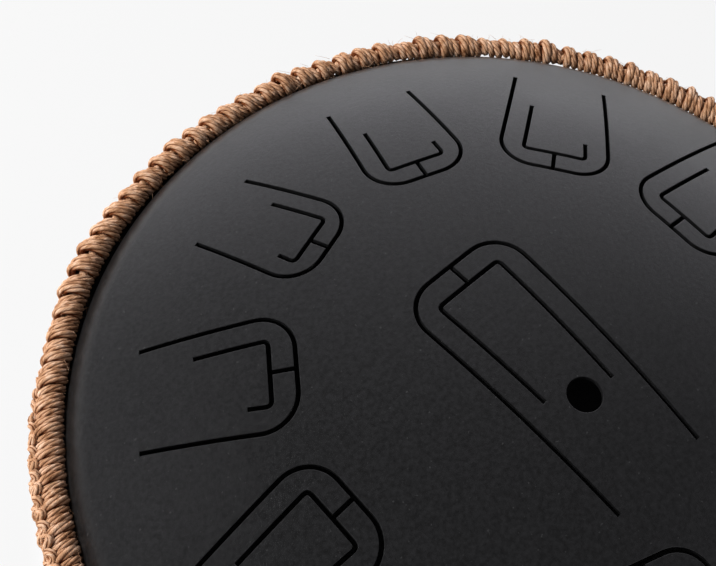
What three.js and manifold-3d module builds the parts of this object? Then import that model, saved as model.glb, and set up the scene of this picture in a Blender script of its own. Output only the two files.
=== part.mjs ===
// Steel tongue drum: two pressed shells joined at a flange, with tongues cut into the domed top, a
// sound port and push-in feet in the bowl below, and a cord that lies on the flange round the rim.
// Millimetres, +Z up. The origin is on the ground under the middle of the drum. +Y points away
// from the player, along the long centre tongue towards its free end.
import * as THREE from "three";
import { mergeVertices } from "three/addons/utils/BufferGeometryUtils.js";
import Module from "manifold-3d";

const wasm = await Module();
wasm.setup();

// Pressed shells
const SHEET = 1.8; // steel thickness
const SHELL_RADIUS = 164.2; // outside of both shells where they meet
const FLANGE = 4.8; // lip that stands out at the seam, on both shells
const CROWN_RISE = 56; // top of the dome above the seam
const DOME_SHOULDER = 21; // rounding between the dome's crown and its side
const DOME_LEAN = 2.7; // degrees that the dome's side still leans in at the seam
const BOWL_DEPTH = 76; // lowest point of the bowl below the seam
const BOWL_SHOULDER = 60;
const BOWL_LEAN = 0;
const PORT_RADIUS = 32; // sound port in the middle of the bowl

// Tongues that stand round the dome, from the highest note to the lowest
const SLOT = 1.7; // width of every cut
const TIP_RING = 78.6; // radius on which the free ends lie
const SHORTEST_ROOT = 126.3; // root radius of the highest note
const ROOT_STEP = 3.7; // each lower note is longer by this
const RIM_BAND = 14.7; // plain band kept outside the longest tongues
const NARROWEST_TIP = 38; // free-end width of the highest note
const TIP_STEP = 2.6; // each lower note is wider by this
const WEB = 5.2; // least steel between the free ends of two neighbours
const TAPER = 2.7; // degrees that each side draws in towards the root
const TIP_CORNER = 13; // rounding of the free end's corners
const BORDER_SHARE = 0.21; // border round the relief cut, of the free end's width
const SHORT_ARM_SHARE = 0.315; // relief arms' reach, of the tongue's length
const LONG_ARM_SHARE = 0.642;
const ROOT_GAP = 0.3; // flexing line, left open between a tongue's root and the shell

// Centre tongue
const CENTRE_TIP = 38.5; // free end, in front of the middle
const CENTRE_LENGTH = 98.6;
const CENTRE_WIDTH = 48.6;
const CENTRE_BORDER_SHARE = 0.192;
const CENTRE_LEFT_ARM_SHARE = 0.668;
const CENTRE_RIGHT_ARM_SHARE = 0.582;
const TUNING_HOLE_RADIUS = 6.2;
const TUNING_HOLE_FROM_TIP = 64;

// Cord wound round the rim
const SEAT_GAP = 0.3; // between pieces that rest on each other
const ROPE_RADIUS = 5.6; // outside of the wound cord
const STRAND = 3.2; // thickness of the pair of strands that winds
const CORE_SLACK = 0.5; // between the core and the strands at rest on it
const CURLS = 96;
const CURL_GAP = 1.1; // between neighbouring curls on the rope's inner side
const JOIN_ANGLE = -90; // where the winding's ends hang under the core, on the player's side

// Feet
const FOOT_COUNT = 4;
const FOOT_CIRCLE = 72;
const FOOT_RADIUS = 11;
const FOOT_EDGE = 1.2; // chamfer of the pad's lower edge
const GROUND_CLEARANCE = 4; // under the bowl's lowest point
const STEM_RADIUS = 3;
const BARB = 1.6; // how far the barb stands out from the stem
const BARB_HEIGHT = 5;

// Facets
const ROUND_STEPS = 60;
const CROWN_STEPS = 5;
const SHOULDER_STEPS = 4;
const CORNER_STEPS = 5;
const CORE_SIDES = 6;
const FOOT_STEPS = 16;
const CURL_STEPS = 8;

const SEAM_HEIGHT = GROUND_CLEARANCE + BOWL_DEPTH;
const FLANGE_EDGE = SHELL_RADIUS + FLANGE;
const ROPE_HEIGHT = SHEET + SEAT_GAP + ROPE_RADIUS; // the cord's middle, above the seam
const HALF_SLOT = SLOT / 2;
const TAPER_SLOPE = Math.tan(THREE.MathUtils.degToRad(TAPER));

const powderCoat = new THREE.MeshStandardMaterial({ color: 0x2b2b2c, roughness: 0.5, metalness: 0.3 });
const jute = new THREE.MeshStandardMaterial({ color: 0xa17456, roughness: 0.95, metalness: 0 });
const rubber = new THREE.MeshStandardMaterial({ color: 0x161616, roughness: 0.85, metalness: 0 });

// A closed geometry as a solid for joining and cutting.
function solid(geometry) {
  const bare = geometry.clone();
  bare.deleteAttribute("normal");
  bare.deleteAttribute("uv");
  const merged = mergeVertices(bare, 1e-4);
  const vertProperties = new Float32Array(merged.attributes.position.array);
  const triVerts = new Uint32Array(merged.index.array);
  return new wasm.Manifold(new wasm.Mesh({ numProp: 3, vertProperties, triVerts }));
}

function geometryOf(manifold) {
  const { vertProperties, triVerts } = manifold.getMesh();
  const geometry = new THREE.BufferGeometry();
  geometry.setAttribute("position", new THREE.BufferAttribute(vertProperties, 3));
  geometry.setIndex(new THREE.BufferAttribute(triVerts, 1));
  const flat = geometry.toNonIndexed();
  flat.computeVertexNormals();
  return flat;
}

// A profile of [radius, height] points turned round the Z axis.
function turned(profile, steps) {
  const points = profile.map(([radius, height]) => new THREE.Vector2(radius, height));
  return new THREE.LatheGeometry(points, steps).rotateX(Math.PI / 2);
}

// A flat shape made upright from low to high.
function prism(shape, low, high) {
  const options = { depth: high - low, bevelEnabled: false, curveSegments: CORNER_STEPS };
  return new THREE.ExtrudeGeometry(shape, options).translate(0, 0, low);
}

// A pressing is a crown arc that runs into a shoulder arc, which meets the seam at a lean.
// Heights count from the seam, and inset moves the surface in by that much sheet.
function pressing(rise, shoulder, leanDegrees) {
  const lean = THREE.MathUtils.degToRad(leanDegrees);
  const shoulderX = SHELL_RADIUS - shoulder * Math.cos(lean);
  const shoulderY = -shoulder * Math.sin(lean);
  const drop = rise - shoulderY;
  const crown = (shoulderX ** 2 + drop ** 2 - shoulder ** 2) / (2 * (drop - shoulder));
  const crownY = rise - crown;
  const tangent = Math.atan2(shoulderX, shoulderY - crownY);
  const crownPoint = (angle, inset) => [
    (crown - inset) * Math.sin(angle),
    crownY + (crown - inset) * Math.cos(angle),
  ];
  const shoulderPoint = (angle, inset) => [
    shoulderX + (shoulder - inset) * Math.sin(angle),
    shoulderY + (shoulder - inset) * Math.cos(angle),
  ];
  const height = (radius, inset) => crownY + Math.sqrt((crown - inset) ** 2 - radius ** 2);
  const sideRadius = (level) => shoulderX + Math.sqrt(shoulder ** 2 - (level - shoulderY) ** 2);
  // The points of one face, from a radius on the crown out to a height above the seam.
  const face = (fromRadius, toHeight, inset) => {
    const first = Math.asin(fromRadius / (crown - inset));
    const last = Math.acos((toHeight - shoulderY) / (shoulder - inset));
    const points = [];
    for (let i = 0; i < CROWN_STEPS; i++) {
      points.push(crownPoint(first + ((tangent - first) * i) / CROWN_STEPS, inset));
    }
    for (let i = 0; i <= SHOULDER_STEPS; i++) {
      points.push(shoulderPoint(tangent + ((last - tangent) * i) / SHOULDER_STEPS, inset));
    }
    return points;
  };
  return { height, sideRadius, face };
}

const dome = pressing(CROWN_RISE, DOME_SHOULDER, DOME_LEAN);
const bowl = pressing(BOWL_DEPTH, BOWL_SHOULDER, BOWL_LEAN);

// A pressed sheet with its flange, open in the middle where holeRadius isn't zero.
function pressedSheet(form, holeRadius) {
  const outside = form.face(holeRadius, SHEET, 0);
  const inside = form.face(holeRadius, 0, SHEET).reverse();
  const profile = [...outside, [FLANGE_EDGE, SHEET], [FLANGE_EDGE, 0], ...inside];
  if (holeRadius > 0) profile.push(profile[0]);
  return turned(profile.reverse(), ROUND_STEPS);
}

// Each tongue is drawn with its free end on the line x = 0 and its root at x = length.
// The heading is the direction from the free end to the root.
const TIP_CHORD = 2 * TIP_RING * Math.sin(Math.PI / 10);

// Places round the dome in order of pitch, as steps of 36 degrees from the far side: the
// notes go from side to side, each pair further from the far side than the last.
const PLACES = [0.5, -0.5, 1.5, -1.5, 2.5, -2.5, 3.5, -3.5, 4.5, -4.5];

function rimTongue(place, order) {
  const heading = Math.PI / 2 + (place * Math.PI) / 5;
  const root = Math.min(SHORTEST_ROOT + ROOT_STEP * order, SHELL_RADIUS - RIM_BAND);
  const width = Math.min(NARROWEST_TIP + TIP_STEP * order, TIP_CHORD - WEB);
  return {
    name: `tongue_${String(order + 1).padStart(2, "0")}`,
    heading,
    tip: [TIP_RING * Math.cos(heading), TIP_RING * Math.sin(heading)],
    length: root - TIP_RING,
    width,
    border: BORDER_SHARE * width,
    leftArm: place > 0 ? SHORT_ARM_SHARE : LONG_ARM_SHARE,
    rightArm: place > 0 ? LONG_ARM_SHARE : SHORT_ARM_SHARE,
  };
}

const centreTongue = {
  name: "tongue_centre",
  heading: -Math.PI / 2,
  tip: [0, CENTRE_TIP],
  length: CENTRE_LENGTH,
  width: CENTRE_WIDTH,
  border: CENTRE_BORDER_SHARE * CENTRE_WIDTH,
  leftArm: CENTRE_LEFT_ARM_SHARE,
  rightArm: CENTRE_RIGHT_ARM_SHARE,
};

const TONGUES = [...PLACES.map(rimTongue), centreTongue];

const halfWidth = (tongue, x) => tongue.width / 2 - TAPER_SLOPE * x;

// The tongue's outline, moved out by grow, with its root cut at rootX.
function outline(tongue, grow, rootX) {
  const corner = TIP_CORNER + grow;
  const slant = Math.hypot(1, TAPER_SLOPE);
  const side = (x) => halfWidth(tongue, x) + grow * slant;
  const centreX = corner - grow;
  const centreY = side(centreX) - corner * slant;
  const sideAngle = Math.atan2(1, TAPER_SLOPE);
  const shape = new THREE.Shape();
  shape.moveTo(rootX, -side(rootX));
  shape.lineTo(rootX, side(rootX));
  shape.absarc(centreX, centreY, corner, sideAngle, Math.PI, false);
  shape.absarc(centreX, -centreY, corner, Math.PI, 2 * Math.PI - sideAngle, false);
  shape.closePath();
  return shape;
}

// The relief cut inside a tongue: a U that follows the outline at the border's distance, joined
// to the free end by a short link in the middle.
function reliefCut(tongue) {
  const leftEnd = tongue.leftArm * tongue.length;
  const rightEnd = tongue.rightArm * tongue.length;
  const near = tongue.border - HALF_SLOT;
  const far = tongue.border + HALF_SLOT;
  const outer = (x) => halfWidth(tongue, x) - near;
  const inner = (x) => halfWidth(tongue, x) - far;
  const shape = new THREE.Shape();
  shape.moveTo(-SLOT, HALF_SLOT);
  shape.lineTo(-SLOT, -HALF_SLOT);
  shape.lineTo(near, -HALF_SLOT);
  shape.lineTo(near, -outer(near));
  shape.lineTo(rightEnd, -outer(rightEnd));
  shape.lineTo(rightEnd, -inner(rightEnd));
  shape.lineTo(far, -inner(far));
  shape.lineTo(far, inner(far));
  shape.lineTo(leftEnd, inner(leftEnd));
  shape.lineTo(leftEnd, outer(leftEnd));
  shape.lineTo(near, outer(near));
  shape.lineTo(near, HALF_SLOT);
  shape.closePath();
  return shape;
}

// A cutter through the dome's sheet, turned and moved to the tongue's place.
function cutter(tongue, shape) {
  const upright = prism(shape, 0, CROWN_RISE + SHEET);
  return solid(upright.rotateZ(tongue.heading).translate(...tongue.tip, 0));
}

function makeTop() {
  const blank = solid(pressedSheet(dome, 0));
  const windows = TONGUES.map((tongue) => cutter(tongue, outline(tongue, HALF_SLOT, tongue.length)));
  const shell = windows.reduce((left, window) => left.subtract(window), blank);
  const tongues = TONGUES.map((tongue) => {
    const plate = cutter(tongue, outline(tongue, -HALF_SLOT, tongue.length - ROOT_GAP));
    return blank.intersect(plate).subtract(cutter(tongue, reliefCut(tongue)));
  });
  const hole = new THREE.Shape();
  hole.absarc(TUNING_HOLE_FROM_TIP, 0, TUNING_HOLE_RADIUS, 0, 2 * Math.PI, false);
  const last = tongues.length - 1;
  tongues[last] = tongues[last].subtract(cutter(centreTongue, hole));
  return { shell, tongues };
}

// Feet: a rubber pad under the bowl, with a stem through the sheet and a barb inside.
function footPlace(index) {
  const angle = ((index + 0.5) * 2 * Math.PI) / FOOT_COUNT;
  return [FOOT_CIRCLE * Math.cos(angle), FOOT_CIRCLE * Math.sin(angle), 0];
}

const bowlHeight = (radius, inset) => SEAM_HEIGHT - bowl.height(radius, inset);

function makeFoot(bowlSpace) {
  const barbRadius = STEM_RADIUS + BARB;
  const barbLow = bowlHeight(FOOT_CIRCLE + barbRadius, SHEET) + SEAT_GAP;
  const padTop = bowlHeight(FOOT_CIRCLE + FOOT_RADIUS, 0);
  const pad = turned(
    [[0, 0], [FOOT_RADIUS - FOOT_EDGE, 0], [FOOT_RADIUS, FOOT_EDGE], [FOOT_RADIUS, padTop], [0, padTop]],
    FOOT_STEPS,
  );
  const stem = turned(
    [
      [0, GROUND_CLEARANCE],
      [STEM_RADIUS, GROUND_CLEARANCE],
      [STEM_RADIUS, barbLow],
      [barbRadius, barbLow],
      [STEM_RADIUS - BARB, barbLow + BARB_HEIGHT],
      [0, barbLow + BARB_HEIGHT],
    ],
    FOOT_STEPS,
  );
  const under = solid(pad.translate(FOOT_CIRCLE, 0, 0)).subtract(bowlSpace);
  return under.add(solid(stem.translate(FOOT_CIRCLE, 0, 0)));
}

function makeBottom() {
  const holeRadius = STEM_RADIUS + SEAT_GAP;
  const hole = new THREE.Shape();
  hole.absarc(0, 0, holeRadius, 0, 2 * Math.PI, false);
  let shell = solid(pressedSheet(bowl, PORT_RADIUS).rotateX(Math.PI).translate(0, 0, SEAM_HEIGHT));
  for (let i = 0; i < FOOT_COUNT; i++) {
    const drill = prism(hole, 0, SEAM_HEIGHT).translate(...footPlace(i));
    shell = shell.subtract(solid(drill));
  }
  return shell;
}

// The space above the bowl's underside, grown by the seat gap, that a foot's pad is shaped to.
function makeBowlSpace() {
  const face = bowl.face(0, 0, -SEAT_GAP);
  const profile = [...face, [0, 0]].reverse();
  return solid(turned(profile, ROUND_STEPS).rotateX(Math.PI).translate(0, 0, SEAM_HEIGHT));
}

// The cord: a core ring, and a pair of strands that winds round it in one unbroken length. It lies
// on the flange and clears the dome's side down to the level of the winding's ends.
const ROPE_LEVEL = SEAM_HEIGHT + ROPE_HEIGHT;
const ROPE_RING = dome.sideRadius(ROPE_HEIGHT - STRAND) + SEAT_GAP + ROPE_RADIUS;
const CORE_RADIUS = ROPE_RADIUS - STRAND - CORE_SLACK;
const CURL_ANGLE = (2 * Math.PI) / CURLS;

function makeCore() {
  const profile = [];
  for (let i = 0; i <= CORE_SIDES; i++) {
    const angle = (2 * Math.PI * i) / CORE_SIDES;
    profile.push([ROPE_RING + CORE_RADIUS * Math.cos(angle), CORE_RADIUS * Math.sin(angle)]);
  }
  return turned(profile, ROUND_STEPS).translate(0, 0, ROPE_LEVEL);
}

// Section of the pair of strands: across the curl, and out from the core's middle.
function strandSection() {
  const half = ((ROPE_RING - ROPE_RADIUS) * CURL_ANGLE - CURL_GAP) / 2;
  const low = ROPE_RADIUS - STRAND;
  return [
    [-half, low],
    [half, low],
    [0.75 * half, low + 0.75 * STRAND],
    [0, ROPE_RADIUS],
    [-0.75 * half, low + 0.75 * STRAND],
  ];
}

// The winding starts on the rope's outer side and ends on its inner side, and both ends run
// straight down from there, so only the half curl under the core is open.
function windingRings() {
  const section = strandSection();
  const lastTurn = CURLS - 0.5;
  const steps = lastTurn * CURL_STEPS;
  const join = THREE.MathUtils.degToRad(JOIN_ANGLE);
  const endTurns = STRAND / (2 * Math.PI * (ROPE_RADIUS - STRAND / 2));
  // One ring of the tube, where turn counts curls and drop lowers an end.
  const ringAt = (turn, advance, drop) => {
    const round = 2 * Math.PI * turn;
    return section.map(([across, out]) => {
      const radius = ROPE_RING + out * Math.cos(round);
      const angle = join + (turn + advance) * CURL_ANGLE + across / ROPE_RING;
      const height = ROPE_LEVEL + out * Math.sin(round) - drop;
      return new THREE.Vector3(radius * Math.cos(angle), radius * Math.sin(angle), height);
    });
  };
  const rings = [ringAt(0, -endTurns, STRAND)];
  for (let i = 0; i <= steps; i++) rings.push(ringAt(i / CURL_STEPS, 0, 0));
  rings.push(ringAt(lastTurn, endTurns, STRAND));
  return rings;
}

// Least distance between points of rings that lie more than half a curl apart on the tube.
function leastGap(rings) {
  let least = Infinity;
  const nearest = CURL_STEPS / 2 + 1;
  const furthest = 2 * CURL_STEPS;
  rings.forEach((ring, i) => {
    for (let step = nearest; step <= furthest; step++) {
      const other = rings[(i + step) % rings.length];
      for (const a of ring) {
        for (const b of other) least = Math.min(least, a.distanceTo(b));
      }
    }
  });
  return least;
}

function makeWinding() {
  const rings = windingRings();
  const sides = rings[0].length;
  console.log(`least gap between curls ${leastGap(rings).toFixed(2)} mm`);
  const index = [];
  for (let i = 0; i + 1 < rings.length; i++) {
    for (let j = 0; j < sides; j++) {
      const a = i * sides + j;
      const b = i * sides + ((j + 1) % sides);
      index.push(a, a + sides, b, b, a + sides, b + sides);
    }
  }
  const lastRing = (rings.length - 1) * sides;
  for (let j = 1; j + 1 < sides; j++) {
    index.push(0, j, j + 1);
    index.push(lastRing, lastRing + j + 1, lastRing + j);
  }
  const geometry = new THREE.BufferGeometry().setFromPoints(rings.flat());
  geometry.setIndex(index);
  return geometry;
}

const drum = new THREE.Group();

function addPiece(name, geometry, material) {
  const piece = new THREE.Mesh(geometry, material);
  piece.name = name;
  drum.add(piece);
  return piece;
}

const top = makeTop();
addPiece("top_shell", geometryOf(top.shell), powderCoat).position.z = SEAM_HEIGHT;
TONGUES.forEach((tongue, i) => {
  addPiece(tongue.name, geometryOf(top.tongues[i]), powderCoat).position.z = SEAM_HEIGHT;
});
addPiece("bottom_shell", geometryOf(makeBottom()), powderCoat);

const footGeometry = geometryOf(makeFoot(makeBowlSpace()));
for (let i = 0; i < FOOT_COUNT; i++) {
  const foot = addPiece(`foot_${i + 1}`, footGeometry, rubber);
  foot.rotation.z = ((i + 0.5) * 2 * Math.PI) / FOOT_COUNT;
}

addPiece("rope_core", makeCore(), jute);
addPiece("rope_winding", makeWinding(), jute);

export default drum;
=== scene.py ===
# %% [markdown]
# # A steel tongue drum
# The drum is two pressed steel shells under a satin black powder coat, with eleven tongues cut into
# the domed top, knotted jute cord round the rim and rubber feet below. The CAD model is loaded
# first as a fixed frame. Every piece made here is in metres in that frame, and all but the tongues
# ride on the drum's body.

import math
import random

import bmesh
import bpy
import numpy as np
from mathutils import Matrix, Vector


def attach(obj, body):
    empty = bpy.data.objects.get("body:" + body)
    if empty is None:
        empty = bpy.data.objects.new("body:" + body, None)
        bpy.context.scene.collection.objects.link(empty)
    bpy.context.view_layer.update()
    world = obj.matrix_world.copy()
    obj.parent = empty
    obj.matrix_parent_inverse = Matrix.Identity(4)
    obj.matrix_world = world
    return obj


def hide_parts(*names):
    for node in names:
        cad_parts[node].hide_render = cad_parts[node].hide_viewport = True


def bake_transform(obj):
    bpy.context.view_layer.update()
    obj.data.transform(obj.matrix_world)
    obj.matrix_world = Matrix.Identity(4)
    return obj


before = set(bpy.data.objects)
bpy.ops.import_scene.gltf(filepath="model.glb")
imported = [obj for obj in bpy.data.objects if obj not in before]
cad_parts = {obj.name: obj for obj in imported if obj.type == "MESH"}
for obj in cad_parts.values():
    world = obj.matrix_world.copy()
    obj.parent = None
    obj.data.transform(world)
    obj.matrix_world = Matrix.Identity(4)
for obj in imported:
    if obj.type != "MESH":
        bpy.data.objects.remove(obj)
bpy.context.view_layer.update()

# %% [markdown]
# ## Sizes of the pressings
# A pressing is a wide crown arc that runs into a tight shoulder arc. Two radii and the place of
# the seam fix the whole profile, so the arcs' centres are worked out once and every later step
# asks them for a height or a normal. That keeps the cuts exactly on the steel's skin.

# %% Profile of the dome and of the bowl
MM = 0.001
SHEET = 1.8 * MM
SEAM = 80 * MM
SHELL_RADIUS = 164.2 * MM
FLANGE = 4.8 * MM
FLANGE_EDGE = SHELL_RADIUS + FLANGE


def pressing(rise, shoulder, lean):
    """The crown arc and the shoulder arc of a pressing, with heights from the seam."""
    shoulder_x = SHELL_RADIUS - shoulder * math.cos(lean)
    shoulder_z = -shoulder * math.sin(lean)
    drop = rise - shoulder_z
    crown = (shoulder_x**2 + drop**2 - shoulder**2) / (2 * (drop - shoulder))
    crown_z = rise - crown
    tangent = math.atan2(shoulder_x, shoulder_z - crown_z)
    return {
        "crown": crown,
        "crown_z": crown_z,
        "shoulder": shoulder,
        "shoulder_x": shoulder_x,
        "shoulder_z": shoulder_z,
        "tangent": tangent,
    }


DOME = pressing(rise=56 * MM, shoulder=21 * MM, lean=math.radians(2.7))
BOWL = pressing(rise=76 * MM, shoulder=60 * MM, lean=0)


def dome_height(radius):
    """Height of the dome's skin on its crown, in the row frame."""
    return SEAM + DOME["crown_z"] + math.sqrt(DOME["crown"] ** 2 - radius**2)


def bowl_height(radius, inset=0.0):
    """Height of the bowl's outer face, or of a face further in by inset."""
    return SEAM - BOWL["crown_z"] - math.sqrt((BOWL["crown"] - inset) ** 2 - radius**2)


for form, name in ((DOME, "dome"), (BOWL, "bowl")):
    print(name, "crown radius", round(form["crown"] / MM, 1), "mm")

# %% [markdown]
# ## Small habits
# An operator works on whatever is selected, and loading the frame leaves its nodes selected. So
# each step starts from an empty selection. A profile starts as a plane that is merged to one
# point, and arcs are drawn by spinning that point. Both shells end in the same way: the shoulder
# runs through a small fillet into the flange on which they are joined.

# %% Helpers for selecting, drawing and applying
FILLET = 0.8 * MM
SHOULDER_STEPS = 16
FILLET_STEPS = 5
ROUNDING_STEPS = 3
MERGE = 0.01 * MM
SHARP = math.radians(50)
SMOOTH_BELOW = math.radians(32)


def deselect():
    if bpy.context.mode != "OBJECT":
        bpy.ops.object.mode_set(mode="OBJECT")
    bpy.ops.object.select_all(action="DESELECT")


def take(piece):
    deselect()
    piece.select_set(True)
    bpy.context.view_layer.objects.active = piece


def name_piece(piece, name):
    piece.name = name
    piece.data.name = name


def duplicate(piece, name):
    twin = piece.copy()
    twin.data = piece.data.copy()
    bpy.context.collection.objects.link(twin)
    name_piece(twin, name)
    return twin


def edit_all():
    """Opens the active piece in edit mode with all of it selected."""
    bpy.ops.object.mode_set(mode="EDIT")
    bpy.ops.mesh.select_all(action="SELECT")


def start_point(x, y, z):
    """A plane merged to one vertex, in edit mode, as the start of a drawn line."""
    deselect()
    bpy.ops.mesh.primitive_plane_add(size=MM)
    edit_all()
    bpy.ops.mesh.merge(type="CENTER")
    bpy.ops.transform.translate(value=(x, y, z))
    return bpy.context.object


def draw_line(x, y, z):
    """Extrudes the selected end of a line by a step."""
    bpy.ops.mesh.extrude_region_move(TRANSFORM_OT_translate={"value": (x, y, z)})


def draw_arc(centre_x, centre_z, angle, steps):
    """Spins the selected end of a profile about a centre in the XZ plane, from +Z towards +X."""
    bpy.ops.mesh.spin(steps=steps, angle=-angle, center=(centre_x, 0, centre_z), axis=(0, 1, 0))


def turn_round(steps):
    """Spins a drawn profile once round the drum's axis and closes the join and the pole."""
    bpy.ops.mesh.select_all(action="SELECT")
    bpy.ops.mesh.spin(steps=steps, angle=2 * math.pi, center=(0, 0, 0), axis=(0, 0, 1))
    bpy.ops.mesh.select_all(action="SELECT")
    bpy.ops.mesh.remove_doubles(threshold=MERGE)
    bpy.ops.mesh.normals_make_consistent(inside=False)
    bpy.ops.object.mode_set(mode="OBJECT")


def draw_flange(form, way):
    """Draws a profile's shoulder down to a fillet, and the flange; way is 1 for the upper shell."""
    end = math.acos((SHEET + FILLET - form["shoulder_z"]) / (form["shoulder"] + FILLET))
    reach = form["shoulder"] + FILLET
    fillet_x = form["shoulder_x"] + reach * math.sin(end)
    fillet_z = SEAM + way * (form["shoulder_z"] + reach * math.cos(end))
    shoulder_z = SEAM + way * form["shoulder_z"]
    draw_arc(form["shoulder_x"], shoulder_z, way * (end - form["tangent"]), SHOULDER_STEPS)
    draw_arc(fillet_x, fillet_z, -way * end, FILLET_STEPS)
    draw_line(FLANGE_EDGE - fillet_x, 0, 0)


def modify(piece, kind, **settings):
    """Adds a modifier to a piece and applies it."""
    take(piece)
    modifier = piece.modifiers.new(kind, kind)
    for setting, value in settings.items():
        setattr(modifier, setting, value)
    bpy.ops.object.modifier_apply(modifier=modifier.name)


def give_thickness(piece, thickness, offset):
    modify(piece, "SOLIDIFY", thickness=thickness, offset=offset, use_even_offset=True)


def round_edges(piece, width):
    """Rounds the sharp edges of a piece by a bevel."""
    where = {"limit_method": "ANGLE", "angle_limit": SHARP}
    modify(piece, "BEVEL", width=width, segments=ROUNDING_STEPS, **where)


def carve(piece, cutter, operation):
    """Cuts a piece with a cutter."""
    modify(piece, "BOOLEAN", operation=operation, solver="MANIFOLD", object=cutter)


def discard(*pieces):
    for piece in pieces:
        mesh = piece.data
        bpy.data.objects.remove(piece)
        bpy.data.meshes.remove(mesh)


def select_where(piece, test):
    """In edit mode, selects the vertices that pass a test of their place."""
    bpy.ops.mesh.select_mode(type="VERT")
    bpy.ops.mesh.select_all(action="DESELECT")
    drawn = bmesh.from_edit_mesh(piece.data)
    for vertex in drawn.verts:
        vertex.select = test(vertex.co)
    drawn.select_flush_mode()
    bmesh.update_edit_mesh(piece.data)


def select_faces(piece, test):
    """In edit mode, selects the faces that pass a test."""
    bpy.ops.mesh.select_mode(type="FACE")
    bpy.ops.mesh.select_all(action="DESELECT")
    drawn = bmesh.from_edit_mesh(piece.data)
    for face in drawn.faces:
        face.select = test(face)
    bmesh.update_edit_mesh(piece.data)


# %% [markdown]
# ## The dome
# The top shell is pressed from one sheet: a shallow crown, a rounded shoulder and a flange at the
# seam, which the cord hides. A press-formed shell is a turned form, so the profile is drawn by
# spinning a point through the crown and the shoulder and then turned about the drum's axis.
# Solidify adds the sheet's thickness on the inside, so the outer skin stays where the CAD has it.

# %% Draw and turn the dome
ROUND_STEPS = 216
CROWN_STEPS = 40
EDGE_ROUNDING = 0.35 * MM


def draw_dome():
    crown_z = SEAM + DOME["crown_z"]
    piece = start_point(0, 0, crown_z + DOME["crown"])
    draw_arc(0, crown_z, DOME["tangent"], CROWN_STEPS)
    draw_flange(DOME, 1)
    turn_round(ROUND_STEPS)
    give_thickness(piece, SHEET, -1)
    round_edges(piece, EDGE_ROUNDING)
    return piece


dome_sheet = draw_dome()
name_piece(dome_sheet, "dome_sheet")
print("dome", [round(x / MM, 2) for x in dome_sheet.dimensions], "mm")

# %% [markdown]
# ## Where the tongues lie
# Ten tongues stand round the dome with their free ends inwards, and one long tongue crosses the
# middle. Notes go from side to side in order of pitch, and a lower note has a longer and wider
# tongue. Each is described with its free end at x = 0 and its root at x = length.

# %% Tongue sizes
SLOT = 1.7 * MM
TIP_RING = 78.6 * MM
TIP_CORNER = 13 * MM
TAPER = math.radians(2.7)
BORDER_SHARE = 0.21
SHORT_ARM, LONG_ARM = 0.315, 0.642
RIM_TONGUES = 10
WEB = 5.2 * MM
RIM_BAND = 14.7 * MM
WIDEST = 2 * TIP_RING * math.sin(math.pi / RIM_TONGUES) - WEB
LONGEST_ROOT = SHELL_RADIUS - RIM_BAND
FIRST_ROOT, ROOT_STEP = 126.3, 3.7  # in mm
FIRST_WIDTH, WIDTH_STEP = 38, 2.6  # in mm
CENTRE_WIDTH = 48.6 * MM
CENTRE_BORDER_SHARE = 0.192


def rim_tongue(order):
    side = 1 if order % 2 == 0 else -1
    heading = math.pi / 2 + side * (order // 2 + 0.5) * 2 * math.pi / RIM_TONGUES
    root = min((FIRST_ROOT + ROOT_STEP * order) * MM, LONGEST_ROOT)
    width = min((FIRST_WIDTH + WIDTH_STEP * order) * MM, WIDEST)
    return {
        "name": f"tongue_{order + 1:02d}",
        "heading": heading,
        "tip": (TIP_RING * math.cos(heading), TIP_RING * math.sin(heading)),
        "length": root - TIP_RING,
        "width": width,
        "border": BORDER_SHARE * width,
        "arms": (SHORT_ARM, LONG_ARM) if side > 0 else (LONG_ARM, SHORT_ARM),
    }


CENTRE = {
    "name": "tongue_centre",
    "heading": -math.pi / 2,
    "tip": (0, 38.5 * MM),
    "length": 98.6 * MM,
    "width": CENTRE_WIDTH,
    "border": CENTRE_BORDER_SHARE * CENTRE_WIDTH,
    "arms": (0.668, 0.582),
}
TONGUES = [rim_tongue(order) for order in range(RIM_TONGUES)] + [CENTRE]


def half_width(tongue, x):
    return tongue["width"] / 2 - math.tan(TAPER) * x


print("tongue lengths", [round(t["length"] / MM, 1) for t in TONGUES], "mm")

# %% [markdown]
# ## Cutters for the laser cuts
# The tongues of the real drum are cut by laser, and the powder coat then rounds the cut's edge
# a little. A cutter is drawn flat in plan, pulled up in three stages, and its middle stages are
# laid on the dome's skin: the upper one is wider by a hair, so the cut leaves with a chamfer
# that catches the light. The alternative, a bevel after cutting, tears where cut edges are short.

# %% Pull a drawn outline up into a cutter
CHAMFER = 0.26 * MM
EDGE_DROP = 0.11 * MM
LEVEL = MM
LEVEL_SLACK = 0.25 * LEVEL
CUTTER_TOP = SEAM + 80 * MM
FLOOR_LEVEL, FLARE_LEVEL, TOP_LEVEL = 0, 2, 3


def on_level(level):
    return lambda place: abs(place.z - level * LEVEL) < LEVEL_SLACK


def pull_up():
    """Extrudes the selected wire through the three stages."""
    bpy.ops.mesh.select_all(action="SELECT")
    for _ in range(TOP_LEVEL):
        draw_line(0, 0, LEVEL)


def divide_long_edges(piece, longest):
    """Splits the long straight edges of a drawn wire, so that they can follow the dome."""
    drawn = bmesh.from_edit_mesh(piece.data)
    long_edges = [edge for edge in drawn.edges if edge.calc_length() > 2 * longest]
    for edge in long_edges:
        cuts = int(edge.calc_length() / longest)
        bmesh.ops.subdivide_edges(drawn, edges=[edge], cuts=cuts)
    bmesh.update_edit_mesh(piece.data)


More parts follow.
